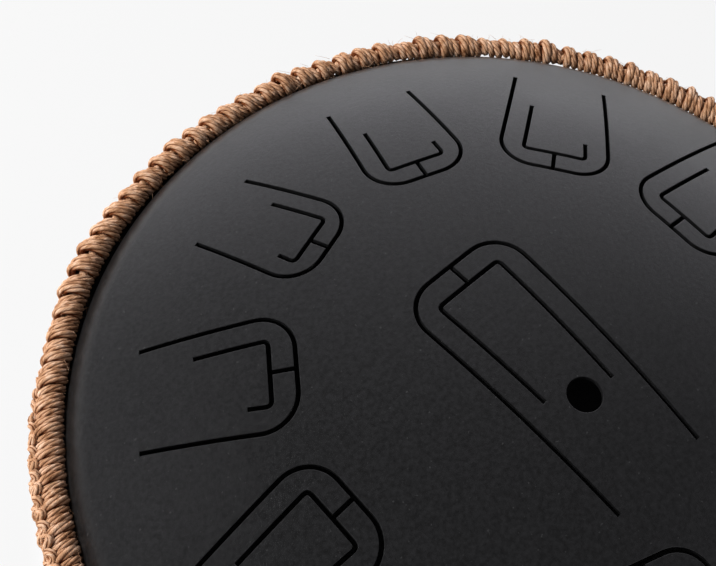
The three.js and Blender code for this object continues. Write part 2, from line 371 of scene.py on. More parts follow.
def flare_and_lay(cutter, tongue, flare):
    """Widens the flared stage, moves the cutter to its tongue and lays it on the skin."""
    take(cutter)
    edit_all()
    bpy.ops.mesh.normals_make_consistent(inside=False)
    select_where(cutter, on_level(FLARE_LEVEL))
    bpy.ops.transform.shrink_fatten(value=flare, use_even_offset=True)
    bpy.ops.object.mode_set(mode="OBJECT")
    for vertex in cutter.data.vertices:
        if abs(vertex.co.x - tongue["length"]) < 2 * CHAMFER + MERGE:
            vertex.co.x = tongue["length"]
    turn = Matrix.Rotation(tongue["heading"], 4, "Z")
    cutter.matrix_world = Matrix.Translation((*tongue["tip"], 0)) @ turn
    take(cutter)
    bpy.ops.object.transform_apply(location=True, rotation=True, scale=True)
    for vertex in cutter.data.vertices:
        skin = dome_height(math.hypot(vertex.co.x, vertex.co.y))
        levels = (SEAM, skin - EDGE_DROP, skin + EDGE_DROP, CUTTER_TOP)
        vertex.co.z = levels[round(vertex.co.z / LEVEL)]


def cap_ends(cutter):
    for level in (FLOOR_LEVEL, TOP_LEVEL):
        select_where(cutter, on_level(level))
        bpy.ops.mesh.edge_face_add()


# %% [markdown]
# ## Outlines, relief cuts and links
# A tongue's outline starts as a plane whose four corners are moved to the taper, and the two
# free-end corners are rounded by a vertex bevel. The relief is a U drawn as one line with a long
# and a short arm and two small round corners. A short link joins it to the free end. Lines get
# their width from Solidify.

# %% Draw the cutters of one tongue
FREE_END_ANGLE = math.pi / 2 - TAPER
DIVISION = 2.5 * MM
RELIEF_CORNER = 2.2 * MM
CORNER_STEPS = 6
TIP_STEPS = 12
HOLE_FROM_TIP = 64 * MM
HOLE_RADIUS = 6.2 * MM
HOLE_STEPS = 56


def outline_cutter(tongue, grow, flare):
    """A cutter in the shape of the tongue, moved out by grow, straight along the root."""
    deselect()
    bpy.ops.mesh.primitive_plane_add(size=1)
    cutter = bpy.context.object
    bpy.ops.object.mode_set(mode="EDIT")
    drawn = bmesh.from_edit_mesh(cutter.data)
    for vertex in drawn.verts:
        x = tongue["length"] if vertex.co.x > 0 else -grow
        y = half_width(tongue, x) + grow / math.cos(TAPER)
        vertex.co = (x, math.copysign(y, vertex.co.y), 0)
    bmesh.update_edit_mesh(cutter.data)
    select_where(cutter, lambda place: place.x < tongue["length"] / 2)
    reach = (TIP_CORNER + grow) / math.tan(FREE_END_ANGLE / 2)
    bpy.ops.mesh.bevel(offset=reach, offset_type="OFFSET", affect="VERTICES", segments=TIP_STEPS)
    bpy.ops.mesh.select_all(action="SELECT")
    bpy.ops.mesh.delete(type="ONLY_FACE")
    divide_long_edges(cutter, DIVISION)
    pull_up()
    cap_ends(cutter)
    flare_and_lay(cutter, tongue, flare)
    return cutter


def rounded(points):
    """The points of a line whose inner corners are rounded."""
    line = [Vector(points[0])]
    for before, corner, after in zip(points, points[1:], points[2:]):
        corner = Vector(corner)
        start = corner + (Vector(before) - corner).normalized() * RELIEF_CORNER
        end = corner + (Vector(after) - corner).normalized() * RELIEF_CORNER
        for step in range(CORNER_STEPS + 1):
            way = step / CORNER_STEPS
            line.append(start.lerp(corner, way).lerp(corner.lerp(end, way), way))
    return [*line, Vector(points[-1])]


def line_cutter(tongue, points):
    """A cutter of the slot's width along a drawn line."""
    start, *others = rounded(points)
    cutter = start_point(start.x, start.y, 0)
    for point in others:
        draw_line(point.x - start.x, point.y - start.y, 0)
        start = point
    divide_long_edges(cutter, DIVISION)
    pull_up()
    bpy.ops.object.mode_set(mode="OBJECT")
    give_thickness(cutter, SLOT, 0)
    flare_and_lay(cutter, tongue, 2 * CHAMFER)
    return cutter


def relief_cutters(tongue):
    border = tongue["border"]
    left, right = (share * tongue["length"] for share in tongue["arms"])

    def beside(x, side):
        return (x, side * (half_width(tongue, x) - border))

    arms = [beside(right, -1), beside(border, -1), beside(border, 1), beside(left, 1)]
    link = [(border, 0), (-2 * SLOT, 0)]
    return [line_cutter(tongue, arms), line_cutter(tongue, link)]


def hole_cutter(tongue):
    deselect()
    bpy.ops.mesh.primitive_circle_add(vertices=HOLE_STEPS, radius=HOLE_RADIUS)
    cutter = bpy.context.object
    edit_all()
    bpy.ops.transform.translate(value=(HOLE_FROM_TIP, 0, 0))
    pull_up()
    cap_ends(cutter)
    flare_and_lay(cutter, tongue, 2 * CHAMFER)
    return cutter


# %% [markdown]
# ## True normals
# Cutting leaves long thin faces beside each slot, and smooth shading over those would show as
# smears in the satin coat. The skin is a sphere and a ring, so its normals are known exactly:
# they are written to the face corners on the skin and along the chamfers, and the smears go.

# %% Write the skin's normals to a cut piece
SKIN_SLACK = 0.04 * MM
NEAR_AXIS = 1e-9


def skin_depth_and_normal(place):
    """How far a point lies under the dome's skin, and the skin's normal there."""
    radius = math.hypot(place.x, place.y)
    shoulder_x = DOME["shoulder_x"]
    height = place.z - SEAM
    crown_way = Vector((radius, 0, height - DOME["crown_z"]))
    if math.atan2(radius, crown_way.z) <= DOME["tangent"]:
        way, size = crown_way, DOME["crown"]
    else:
        way, size = Vector((radius - shoulder_x, 0, height - DOME["shoulder_z"])), DOME["shoulder"]
    depth = size - way.length
    way.normalize()
    share = way.x / max(radius, NEAR_AXIS)
    return depth, Vector((place.x * share, place.y * share, way.z))


def true_normals(piece):
    """Writes the skin's normals to a piece and counts its faces on the skin."""
    take(piece)
    bpy.ops.object.shade_smooth_by_angle(angle=SMOOTH_BELOW)
    mesh = piece.data
    skin = [skin_depth_and_normal(vertex.co) for vertex in mesh.vertices]
    normals = [corner.vector.copy() for corner in mesh.corner_normals]
    on_skin = 0
    for face in mesh.polygons:
        depths = [skin[index][0] for index in face.vertices]
        if max(depths) < SKIN_SLACK and min(depths) > -SKIN_SLACK:
            on_skin += 1
            for corner in face.loop_indices:
                normals[corner] = skin[mesh.loops[corner].vertex_index][1]
        elif max(depths) < 2 * EDGE_DROP and min(depths) > -SKIN_SLACK:
            for corner in face.loop_indices:
                depth, up = skin[mesh.loops[corner].vertex_index]
                level = face.normal - face.normal.dot(up) * up
                rounded_edge = (up + level.normalized()).normalized()
                normals[corner] = up if depth < SKIN_SLACK else rounded_edge
    mesh.normals_split_custom_set(normals)
    return on_skin


# %% [markdown]
# ## Cut the tongues out of the dome
# Every tongue is the part of the dome inside its outline, and the shell is what is left outside.
# Both are cut from the same sheet on the same root line, so at rest the steel runs through the root
# without a seam, as on the real pressing.


def cut_tongue(tongue):
    plate = duplicate(dome_sheet, "plate_of_" + tongue["name"])
    block = outline_cutter(tongue, -SLOT / 2, -2 * CHAMFER)
    carve(plate, block, "INTERSECT")
    cutters = [block, *relief_cutters(tongue)]
    if tongue is CENTRE:
        cutters.append(hole_cutter(tongue))
    for cutter in cutters[1:]:
        carve(plate, cutter, "DIFFERENCE")
    discard(*cutters)
    return plate


plates = [cut_tongue(tongue) for tongue in TONGUES]
for tongue in TONGUES:
    window = outline_cutter(tongue, SLOT / 2, 2 * CHAMFER)
    carve(dome_sheet, window, "DIFFERENCE")
    discard(window)
for piece in [dome_sheet, *plates]:
    print(piece.name, len(piece.data.polygons), "faces,", true_normals(piece), "on the skin")

# %% [markdown]
# ## The bowl
# The lower shell is deeper than the dome and has a sound port in the middle, which is what lets
# the drum sing. It is turned in the same way, starting at the port's edge, and ends in a flange
# under the dome's own. The port, the flange and the holes for the feet are rounded by a Bevel
# modifier, because a hand reaches in there.

# %% Draw, turn and drill the bowl
PORT_RADIUS = 32 * MM
FOOT_CIRCLE = 72 * MM
FOOT_RADIUS = 11 * MM
STEM_RADIUS = 3 * MM
SEAT_GAP = 0.3 * MM
FOOT_COUNT = 4
BOWL_STEPS = 20
DRILL_STEPS = 32
DRILL_DEPTH = 40 * MM


def foot_place(index):
    angle = (index + 0.5) * 2 * math.pi / FOOT_COUNT
    return FOOT_CIRCLE * math.cos(angle), FOOT_CIRCLE * math.sin(angle)


def draw_bowl():
    first = math.asin(PORT_RADIUS / BOWL["crown"])
    piece = start_point(PORT_RADIUS, 0, bowl_height(PORT_RADIUS))
    draw_arc(0, SEAM - BOWL["crown_z"], first - BOWL["tangent"], BOWL_STEPS)
    draw_flange(BOWL, -1)
    turn_round(ROUND_STEPS)
    give_thickness(piece, SHEET, -1)
    for index in range(FOOT_COUNT):
        x, y = foot_place(index)
        deselect()
        bpy.ops.mesh.primitive_cylinder_add(
            vertices=DRILL_STEPS,
            radius=STEM_RADIUS + SEAT_GAP,
            depth=DRILL_DEPTH,
            location=(x, y, DRILL_DEPTH / 4),
        )
        drill = bpy.context.object
        carve(piece, drill, "DIFFERENCE")
        discard(drill)
    round_edges(piece, EDGE_ROUNDING)
    bpy.ops.object.shade_smooth_by_angle(angle=SMOOTH_BELOW)
    return piece


bowl_sheet = draw_bowl()
name_piece(bowl_sheet, "bowl_sheet")
print("bowl", [round(x / MM, 2) for x in bowl_sheet.dimensions], "mm")

# %% [markdown]
# ## The feet
# A foot is one rubber moulding: a round pad under the bowl, a stem through the sheet and a barb
# that keeps it in. A cylinder is inset and extruded from ring to ring to make it, and the pad's
# top is then laid along the bowl's slope. One foot is modelled and the others are turned copies.

# %% Model one foot and copy it round
FOOT_STEPS = 48
FOOT_SMOOTH_BELOW = math.radians(35)
PAD_RINGS = 2
PAD_ROUNDING = 1.3 * MM
PAD_ROUNDING_STEPS = 4
BARB = 1.6 * MM
BARB_HEIGHT = 4.2 * MM
BARB_TIP_SHARE = 0.4
TREAD_RIM = 3.2 * MM
TREAD_SLOPE = 0.5 * MM
TREAD_DEPTH = 0.6 * MM
NEAR = 0.1 * MM


def draw_foot():
    barb_radius = STEM_RADIUS + BARB
    pad_top = bowl_height(FOOT_CIRCLE) - SEAT_GAP
    barb_low = bowl_height(FOOT_CIRCLE + barb_radius, SHEET) + SEAT_GAP
    deselect()
    bpy.ops.mesh.primitive_cylinder_add(
        vertices=FOOT_STEPS, radius=FOOT_RADIUS, depth=pad_top, location=(0, 0, pad_top / 2)
    )
    foot = bpy.context.object
    bpy.ops.object.transform_apply(location=True, rotation=True, scale=True)
    bpy.ops.object.mode_set(mode="EDIT")
    select_faces(foot, lambda face: face.normal.z > 0.9)
    for _ in range(PAD_RINGS):
        bpy.ops.mesh.inset(thickness=(FOOT_RADIUS - STEM_RADIUS) / PAD_RINGS)
    draw_line(0, 0, barb_low - pad_top)
    bpy.ops.mesh.inset(thickness=BARB, use_outset=True)
    draw_line(0, 0, BARB_HEIGHT)
    bpy.ops.transform.resize(value=(BARB_TIP_SHARE, BARB_TIP_SHARE, 1))
    select_where(foot, lambda place: place.z < NEAR)
    bpy.ops.mesh.bevel(offset=PAD_ROUNDING, segments=PAD_ROUNDING_STEPS, affect="EDGES")
    select_faces(foot, lambda face: face.normal.z < -0.99 and face.calc_area() > FOOT_RADIUS**2)
    bpy.ops.mesh.inset(thickness=TREAD_RIM)
    bpy.ops.mesh.inset(thickness=TREAD_SLOPE, depth=-TREAD_DEPTH)
    bpy.ops.object.mode_set(mode="OBJECT")
    return foot, pad_top


foot_model, pad_top = draw_foot()
feet = []
for index in range(FOOT_COUNT):
    foot = duplicate(foot_model, f"rubber_foot_{index + 1}")
    x, y = foot_place(index)
    for vertex in foot.data.vertices:
        vertex.co.x += x
        vertex.co.y += y
        if abs(vertex.co.z - pad_top) < NEAR:
            vertex.co.z = bowl_height(math.hypot(vertex.co.x, vertex.co.y)) - SEAT_GAP
    take(foot)
    bpy.ops.object.shade_smooth_by_angle(angle=FOOT_SMOOTH_BELOW)
    feet.append(foot)
discard(foot_model)
print("feet stand on", min(vertex.co.z for vertex in feet[0].data.vertices), "m")

# %% [markdown]
# ## The knotted cord
# The rim is dressed with jute that lies on the flange: plied twine hitched round a core, close and
# uneven, with a chain of crossing loops along the outer side where each hitch locks the last.
# Some hundreds of turns of plied twine can't be drawn one by one, so they follow a formula: a path
# that winds round the ring, with seeded unevenness, and plies that twist along the path. Each ply
# is real geometry, because bumps and dark gaps between plies are what makes twine look like twine.

# %% Paths round the rim
CORD_RING = 168.9 * MM
CORD_HEIGHT = SEAM + 6.5 * MM
KNOTS = 112
KNOT_TURNS = 3
TURNS = KNOT_TURNS * KNOTS
TURN_PITCH = 2 * math.pi * CORD_RING / TURNS
STATIONS = 24
SLACK_PLACES = [math.radians(angle) for angle in (36, 44, 47.5, 61, 71.5, 203, 246, 318)]
SLACK_LENGTH = 3 * MM
draws = random.Random(14)


def uneven(count, spread):
    return np.array([draws.gauss(0, spread) for _ in range(count)])


def wavering(values, where):
    """Values round the ring, read smoothly between their places."""
    count = len(values)
    low = np.floor(where).astype(int)
    part = where - low
    part = part * part * (3 - 2 * part)
    return values[low % count] * (1 - part) + values[(low + 1) % count] * part


def slack(angle):
    """1 in the middle of a slack place between two knots, and 0 away from it."""
    total = np.zeros_like(angle)
    for place in SLACK_PLACES:
        turned = np.mod(angle - place + math.pi, 2 * math.pi) - math.pi
        total += np.exp(-((turned * CORD_RING / SLACK_LENGTH) ** 2))
    return total


# The stations that the picture shows have values of their own, and the others are drawn by lot.
ring_lift = uneven(STATIONS, 0.3 * MM)
ring_lift[1:13] = np.array([0.1, 0.4, 0.4, 0.6, 0.4, 0, 0, 0.2, 0.5, 1, 1, 0.4]) * MM
ring_spread = uneven(STATIONS, 0.3 * MM)
ring_spread[1:13] = np.array([1.2, 1, 0.6, 0.2, -0.4, -0.6, 0.3, 1.3, -0.2, -0.9, -0.9, 0]) * MM
ring_roll = uneven(STATIONS, math.radians(7))
ring_swell = uneven(STATIONS, 0.1 * MM)
ring_swell[2:12] = np.array([-0.2, 0, -0.3, -0.3, 0, 0, 0.6, 0.4, 0.8, 1]) * MM
# Knots are flatter where the chain lies on top of them.
ring_knot = np.ones(STATIONS)
ring_knot[9:12] = [0.6, 0.25, 0.25]


def round_cord(angle, turn, distance):
    """Points at a distance from the cord's middle line and the direction away from it."""
    station = angle * STATIONS / (2 * math.pi)
    turn = turn + wavering(ring_roll, station)
    across = np.cos(turn)
    radius = CORD_RING + wavering(ring_spread, station) + distance * across
    height = CORD_HEIGHT + wavering(ring_lift, station) + distance * np.sin(turn)
    points = np.stack([radius * np.cos(angle), radius * np.sin(angle), height], axis=1)
    away = np.stack([across * np.cos(angle), across * np.sin(angle), np.sin(turn)], axis=1)
    return points, away


# %% [markdown]
# ## Plied twine
# Twine is a few yarns twisted together. For each yarn a tube is swept along the path at
# a small distance from it, and that distance turns round the path with the twist. The tube's
# length and its way round are kept as a UV map, sheared so that the fibres run round the yarn.
# How deep each point lies between the plies or between two turns is kept too, and the jute's colour
# is darkened there as painted shade.

# %% Sweep plied twine along a path
FIBRE_TURNS = 90


def unit(rows):
    return rows / np.linalg.norm(rows, axis=1, keepdims=True)


def sweep(path, away, offset, twist, radius, sides, dip=0):
    """One yarn: rings of points round a path, its length so far and how deep each point lies."""
    sizes = (offset, twist, radius)
    offset, twist, radius = (np.broadcast_to(size, len(path)) for size in sizes)
    along = unit(np.gradient(path, axis=0))
    side = unit(np.cross(along, away))
    outward = np.cross(side, along)
    turned = np.cos(twist)[:, None] * outward + np.sin(twist)[:, None] * side
    middle = path + offset[:, None] * turned
    flow = unit(np.gradient(middle, axis=0))
    first = unit(turned - (turned * flow).sum(axis=1, keepdims=True) * flow)
    second = np.cross(flow, first)
    way = np.arange(sides) * 2 * math.pi / sides
    rings = middle[:, None, :] + radius[:, None, None] * (
        np.cos(way)[None, :, None] * first[:, None, :]
        + np.sin(way)[None, :, None] * second[:, None, :]
    )
    length = np.concatenate([[0], np.cumsum(np.linalg.norm(np.diff(middle, axis=0), axis=1))])
    # How deep a point lies between the plies and down the inner flank of a wound turn; the jute
    # material darkens these places as painted shade.
    rise = ((rings - path[:, None, :]) * outward[:, None, :]).sum(axis=2)
    between = (1 - np.cos(way))[None, :] * (offset > 0)[:, None]
    flank = dip * (1 - rise / (offset + radius)[:, None])
    return rings, length, np.maximum(between, flank) / 2


def twine_mesh(name, yarns):
    """One closed mesh of several yarns."""
    points, faces, lengths, ways, depths = [], [], [], [], []
    for rings, length, deep in yarns:
        count, sides = rings.shape[:2]
        base = len(points)
        points.extend(rings.reshape(-1, 3).tolist())
        depths.extend(deep.ravel().tolist())
        for i in range(count - 1):
            for j in range(sides):
                near, far = base + i * sides, base + (i + 1) * sides
                after = (j + 1) % sides
                faces.append((near + j, near + after, far + after, far + j))
                lengths.extend([length[i], length[i], length[i + 1], length[i + 1]])
                here, there = FIBRE_TURNS * length[i], FIBRE_TURNS * length[i + 1]
                left, right = j / sides, (j + 1) / sides
                ways.extend([here + left, here + right, there + right, there + left])
        last = base + (count - 1) * sides
        faces.append(tuple(base + j for j in reversed(range(sides))))
        faces.append(tuple(last + j for j in range(sides)))
        lengths.extend([length[0]] * sides + [length[-1]] * sides)
        ways.extend([0.5] * (2 * sides))
    mesh = bpy.data.meshes.new(name)
    mesh.from_pydata(points, [], faces)
    mesh.shade_smooth()
    strand = mesh.uv_layers.new(name="strand")
    rows = np.column_stack([lengths, ways]).astype(np.float32)
    strand.data.foreach_set("uv", rows.ravel())
    # Painted shade: how deep each point lies between plies and turns, which the jute material reads
    # to darken its colour.
    painted_groove_shade = mesh.attributes.new("painted_groove_shade", "FLOAT", "POINT")
    painted_groove_shade.data.foreach_set("value", np.array(depths, dtype=np.float32))
    piece = bpy.data.objects.new(name, mesh)
    bpy.context.collection.objects.link(piece)
    return piece


# %% [markdown]
# ## Hitches
# Three turns of twine make one knot. On the outer side and over the top they are pulled together
# with a notch on either side, and on the inner side they lie evenly. The first turn of a knot is
# tucked in, and the last stands highest and fullest. From the outer side over the top to the
# inner side the turns lean clockwise, seen from above, and the yarns are twisted the other way,
# so their lines cross each turn at a slant.

# %% Wind the hitches in eight lengths
YARNS = 5
YARN_RADIUS = 0.76 * MM
YARN_OFFSET = 0.92 * MM
YARN_SIDES = 8
WIND_RADIUS = 3.05 * MM
TURN_STEPS = 24
TWISTS = 430
LENGTHS = 8
TURN_LEAN = 0.5 * MM
KNOT_AT = 0.82
KNOT_RISE = 1.2 * MM
SLACKNESS = 0.3
SWELLS_PER_TURN = 6
YARN_STAGGER = 2

knot_swell = uneven(KNOTS, 0.35 * MM)
turn_pull = np.tile([0.95, 0.3, -0.55], KNOTS) * MM + uneven(TURNS, 0.25 * MM)
turn_rise = np.tile([-0.05, 0.7, 1], KNOTS) * KNOT_RISE + uneven(TURNS, 0.15 * MM)
turn_full = np.tile([0.88, 1, 1.2], KNOTS) + uneven(TURNS, 0.05)
turn_shift = uneven(TURNS, 0.2 * MM)
turn_swell = uneven(TURNS, 0.12 * MM)
yarn_swell = uneven(SWELLS_PER_TURN * TURNS, 0.06)


def wind_path(turns):
    """The middle line of the twine, with how full and how slack it is at each point."""
    station = turns * STATIONS / TURNS
    since = turns - KNOT_AT
    knot = np.cos(math.pi * since) ** 2 * wavering(ring_knot, station)
    pull = wavering(turn_pull, since) * knot
    lean = TURN_LEAN * np.cos(2 * math.pi * turns)
    angle = (TURN_PITCH * turns + pull + lean + wavering(turn_shift, turns)) / CORD_RING
    rise = (wavering(turn_rise, since) + wavering(knot_swell, turns / KNOT_TURNS)) * knot
    loose = slack(angle)
    distance = WIND_RADIUS + wavering(ring_swell, station) + wavering(turn_swell, turns) + rise
    distance = distance * (1 - SLACKNESS * loose)
    path, away = round_cord(angle, -2 * math.pi * turns, distance)
    return path, away, wavering(turn_full, since), loose


def wind_length(index):
    share = TURNS // LENGTHS
    turns = np.linspace(index * share, (index + 1) * share, share * TURN_STEPS + 1)
    path, away, full, loose = wind_path(turns)
    full = full * (1 - SLACKNESS / 2 * loose)
    yarns = []
    for yarn in range(YARNS):
        twist = -2 * math.pi * (turns * TWISTS / TURNS + yarn / YARNS)
        swell = wavering(yarn_swell, SWELLS_PER_TURN * turns + YARN_STAGGER * yarn)
        radius = YARN_RADIUS * full * (1 + swell)
        yarns.append(sweep(path, away, YARN_OFFSET * full, twist, radius, YARN_SIDES, dip=1))
    return twine_mesh(f"hitched_cord_{index + 1}", yarns)


hitches = [wind_length(index) for index in range(LENGTHS)]
print("hitches", sum(len(piece.data.polygons) for piece in hitches), "faces")

# %% [markdown]
# ## Locking chain and core
# Low on the outer side two strands cross and recross, once for each knot. They run in a
# figure of eight: out and in across the cord, and over and under each other. In one place the
# chain climbs to the top of the cord, as it does on work tied by hand. Two thick strands are the
# core, which fills the hitches and only shows where two of them stand apart.

# %% Chain along the outer side, and the core
CHAIN_TURN = math.radians(-48)
CHAIN_CLIMB = math.radians(84)
CHAIN_RADIUS = 5.1 * MM
CHAIN_REACH = 2.2 * MM
CHAIN_LIFT = 0.55 * MM
CHAIN_STEPS = 16
CHAIN_YARNS = 4
CHAIN_YARN_OFFSET = 0.75 * MM
CHAIN_YARN_RADIUS = 0.78 * MM
CHAIN_SIDES = 6
CHAIN_TWISTS_PER_KNOT = 0.8
CHAIN_SWELL_SHARE = 1.2
CORE_OFFSET = 1.5 * MM
CORE_RADIUS = 1.7 * MM
CORE_TWISTS = 60
CORE_STEPS = 1200
CORE_SIDES = 8

chain_reach = CHAIN_REACH * (1 + uneven(KNOTS, 0.22))
chain_shift = uneven(KNOTS, 0.5 * MM)
chain_turn = CHAIN_TURN + uneven(STATIONS, math.radians(6))
chain_turn[10:12] += CHAIN_CLIMB


def chain_strand(index):
    steps = np.linspace(0, KNOTS, KNOTS * CHAIN_STEPS + 1)
    swing = 2 * math.pi * steps + index * math.pi
    angle = (KNOT_TURNS * TURN_PITCH * steps + wavering(chain_shift, steps)) / CORD_RING
    aside = wavering(chain_reach, steps) * np.sin(swing) / CHAIN_RADIUS
    distance = CHAIN_RADIUS + CHAIN_LIFT * np.sin(2 * swing) * (1 if index else -1)
    station = steps * STATIONS / KNOTS
    swell = CHAIN_SWELL_SHARE * wavering(ring_swell, station)
    distance = distance + wavering(knot_swell, steps) + swell
    distance = distance * (1 - SLACKNESS * slack(angle))
    turn = wavering(chain_turn, station) + aside
    path, away = round_cord(angle, turn, distance)
    yarns = []
    for yarn in range(CHAIN_YARNS):
        twist = -2 * math.pi * (steps * CHAIN_TWISTS_PER_KNOT + yarn / CHAIN_YARNS)
        yarns.append(sweep(path, away, CHAIN_YARN_OFFSET, twist, CHAIN_YARN_RADIUS, CHAIN_SIDES))
    return yarns


def core_strand(index):
    steps = np.linspace(0, 2 * math.pi, CORE_STEPS)
    turn = CORE_TWISTS * steps + index * math.pi
    path, away = round_cord(steps, turn, CORE_OFFSET)
    return [sweep(path, away, 0, turn, CORE_RADIUS, CORE_SIDES)]


chain = twine_mesh("locking_chain", chain_strand(0) + chain_strand(1))
core = twine_mesh("cord_core", core_strand(0) + core_strand(1))
print("chain", len(chain.data.polygons), "faces, core", len(core.data.polygons))

# %% [markdown]
# ## Loose fibres
# Jute is hairy. Some hundreds of loose fibres stand off the cord, each a thin bent hair with a
# handful of faces, which is enough for something that is a fraction of a pixel wide.

# %% Loose fibres
FIBRES = 700
FIBRE_STEPS = 5
FIBRE_SIDES = 3
FIBRE_TURN = (-0.6, 4.2, 3.2)  # least, most and likeliest angle round the cord, in radians
FIBRE_LENGTH = (1.6, 5)  # shortest and longest, in mm
FIBRE_LEAN = 1.3
FIBRE_CURL = 0.8
FIBRE_ROOT = 4.3 * MM
FIBRE_STAND = 0.65
CURL_UP = 0.25
CURL_ROUND = 0.35
FIBRE_RADII = (0.09, 0.035)  # at the root and at the tip, in mm


def fibre():
    angle = draws.uniform(0, 2 * math.pi)
    turn = draws.triangular(*FIBRE_TURN)
    length = draws.uniform(*FIBRE_LENGTH) * MM
    lean = draws.uniform(-FIBRE_LEAN, FIBRE_LEAN)
    curl = draws.uniform(-FIBRE_CURL, FIBRE_CURL)
    steps = np.linspace(0, 1, FIBRE_STEPS)
    lift = FIBRE_ROOT + length * (FIBRE_STAND * steps + CURL_UP * curl * steps**2)
    drift = (lean * steps + curl * steps**2) * length / CORD_RING
    path, away = round_cord(angle + drift, turn + CURL_ROUND * curl * steps, lift)
    radius = np.linspace(*FIBRE_RADII, FIBRE_STEPS) * MM
    return sweep(path, away, 0, 0, radius, FIBRE_SIDES)


fibres = twine_mesh("loose_fibres", [fibre() for _ in range(FIBRES)])
print("fibres", len(fibres.data.polygons), "faces")

# %% [markdown]
# ## Powder coat
# Powder melts into a skin with a fine orange peel. In the light it is a near-black satin with a
# slight grain and a few pale specks of dust. Colour, roughness and bump all come from noise at
# real sizes: about 1.6 mm for the peel and 0.4 mm for the grain.

# %% Material helpers and the powder coat
NOISE_RANGE = (0.3, 0.7)


def fill(node, **values):
    """Sets inputs of a node; an underscore stands for a space in the input's name."""
    for name, value in values.items():
        node.inputs[name.replace("_", " ")].default_value = value


def new_material(name):
    material = bpy.data.materials.new(name)
    material.use_nodes = True
    nodes = material.node_tree.nodes
    nodes.clear()
    shader = nodes.new("ShaderNodeBsdfPrincipled")
    output = nodes.new("ShaderNodeOutputMaterial")
    material.node_tree.links.new(shader.outputs["BSDF"], output.inputs["Surface"])
    return material, nodes, material.node_tree.links, shader


def noise(nodes, links, source, scale, detail, roughness=0.5):
    texture = nodes.new("ShaderNodeTexNoise")
    fill(texture, Scale=scale, Detail=detail, Roughness=roughness)
    links.new(source, texture.inputs["Vector"])
    return texture.outputs["Fac"]


def ramp(nodes, links, source, *stops):
    colours = nodes.new("ShaderNodeValToRGB")
    elements = colours.color_ramp.elements
    while len(elements) < len(stops):
        elements.new(0.5)
    for element, (place, colour) in zip(elements, stops):
        element.position = place
        element.color = (*colour, 1)
    links.new(source, colours.inputs["Fac"])
    return colours.outputs["Color"]


def combine(nodes, links, operation, *sources, kind="ShaderNodeMath", output="Value"):
    """The result of a maths node; each source is a socket or a plain value."""
    node = nodes.new(kind)
    node.operation = operation
    for entry, source in zip(node.inputs, sources):
        if isinstance(source, bpy.types.NodeSocket):
            links.new(source, entry)
        else:
            entry.default_value = source
    return node.outputs[output]


def combine_vectors(nodes, links, operation, *sources, output="Vector"):
    kind = "ShaderNodeVectorMath"
    return combine(nodes, links, operation, *sources, kind=kind, output=output)


def stretch(nodes, links, source, start, end, low=0, high=1):
    """Reads the numbers from start to end as numbers from low to high."""
    reader = nodes.new("ShaderNodeMapRange")
    fill(reader, From_Min=start, From_Max=end, To_Min=low, To_Max=high)
    links.new(source, reader.inputs["Value"])
    return reader.outputs["Result"]


def bump(nodes, links, shader, height, distance, strength):
    relief = nodes.new("ShaderNodeBump")
    fill(relief, Strength=strength, Distance=distance)
    links.new(height, relief.inputs["Height"])
    links.new(relief.outputs["Normal"], shader.inputs["Normal"])


def make_powder_coat():
    material, nodes, links, shader = new_material("satin_powder_coat")
    place = nodes.new("ShaderNodeTexCoord").outputs["Object"]
    grain = noise(nodes, links, place, scale=2600, detail=3, roughness=0.7)
    peel = noise(nodes, links, place, scale=620, detail=3, roughness=0.6)
    cloud = noise(nodes, links, place, scale=26, detail=3)
    dust = noise(nodes, links, place, scale=900, detail=0)
    shade = ramp(nodes, links, peel, (0.33, (0.0055,) * 3), (0.67, (0.013, 0.013, 0.0135)))
    specks = ramp(nodes, links, dust, (0.8, (0, 0, 0)), (0.86, (0.02, 0.02, 0.02)))
    coat = combine_vectors(nodes, links, "ADD", shade, specks)
    links.new(coat, shader.inputs["Base Color"])
    gloss = stretch(nodes, links, cloud, *NOISE_RANGE, low=0.3, high=0.37)
    links.new(gloss, shader.inputs["Roughness"])
    relief = combine(nodes, links, "ADD", peel, grain)
    bump(nodes, links, shader, relief, distance=0.1 * MM, strength=0.6)
    return material


powder_coat = make_powder_coat()
print("made", powder_coat.name)

# %% [markdown]
# ## Jute and rubber
# Jute yarn is bundles of fibre that run along the twist: straw brown with darker and paler streaks.
# The noise is stretched along the yarn by its UV map. The grooves between the plies and between
# turns are darkened by painted shade, read from an attribute of the mesh. Rubber is plain moulded
# black with a fine matt texture.

# %% Jute and rubber
PATCH_SHARE = 0.35


def make_jute():
    material, nodes, links, shader = new_material("jute_twine")
    coordinates = nodes.new("ShaderNodeTexCoord")
    stretched = nodes.new("ShaderNodeMapping")
    fill(stretched, Scale=(190, 13, 1))
    links.new(coordinates.outputs["UV"], stretched.inputs["Vector"])
    streak = noise(nodes, links, stretched.outputs["Vector"], scale=1, detail=5, roughness=0.75)
    patch = noise(nodes, links, coordinates.outputs["Object"], scale=240, detail=2)
    streak_part = combine(nodes, links, "MULTIPLY", streak, 1 - PATCH_SHARE)
    colour = ramp(
        nodes,
        links,
        combine(nodes, links, "MULTIPLY_ADD", patch, PATCH_SHARE, streak_part),
        (0.37, (0.16, 0.06, 0.022)),
        (0.5, (0.59, 0.32, 0.176)),
        (0.61, (0.85, 0.6, 0.43)),
    )
    # Painted shade: the colour is darkened towards a dark brown where a point lies deep between
    # plies or turns.
    depth = nodes.new("ShaderNodeAttribute")
    depth.attribute_name = "painted_groove_shade"
    shade = ramp(nodes, links, depth.outputs["Fac"], (0.2, (1, 1, 1)), (0.46, (0.26, 0.125, 0.06)))
    shaded = combine_vectors(nodes, links, "MULTIPLY", colour, shade)
    links.new(shaded, shader.inputs["Base Color"])
    fill(shader, Roughness=0.88, Specular_IOR_Level=0.15)
    bump(nodes, links, shader, streak, distance=0.3 * MM, strength=1)
    return material


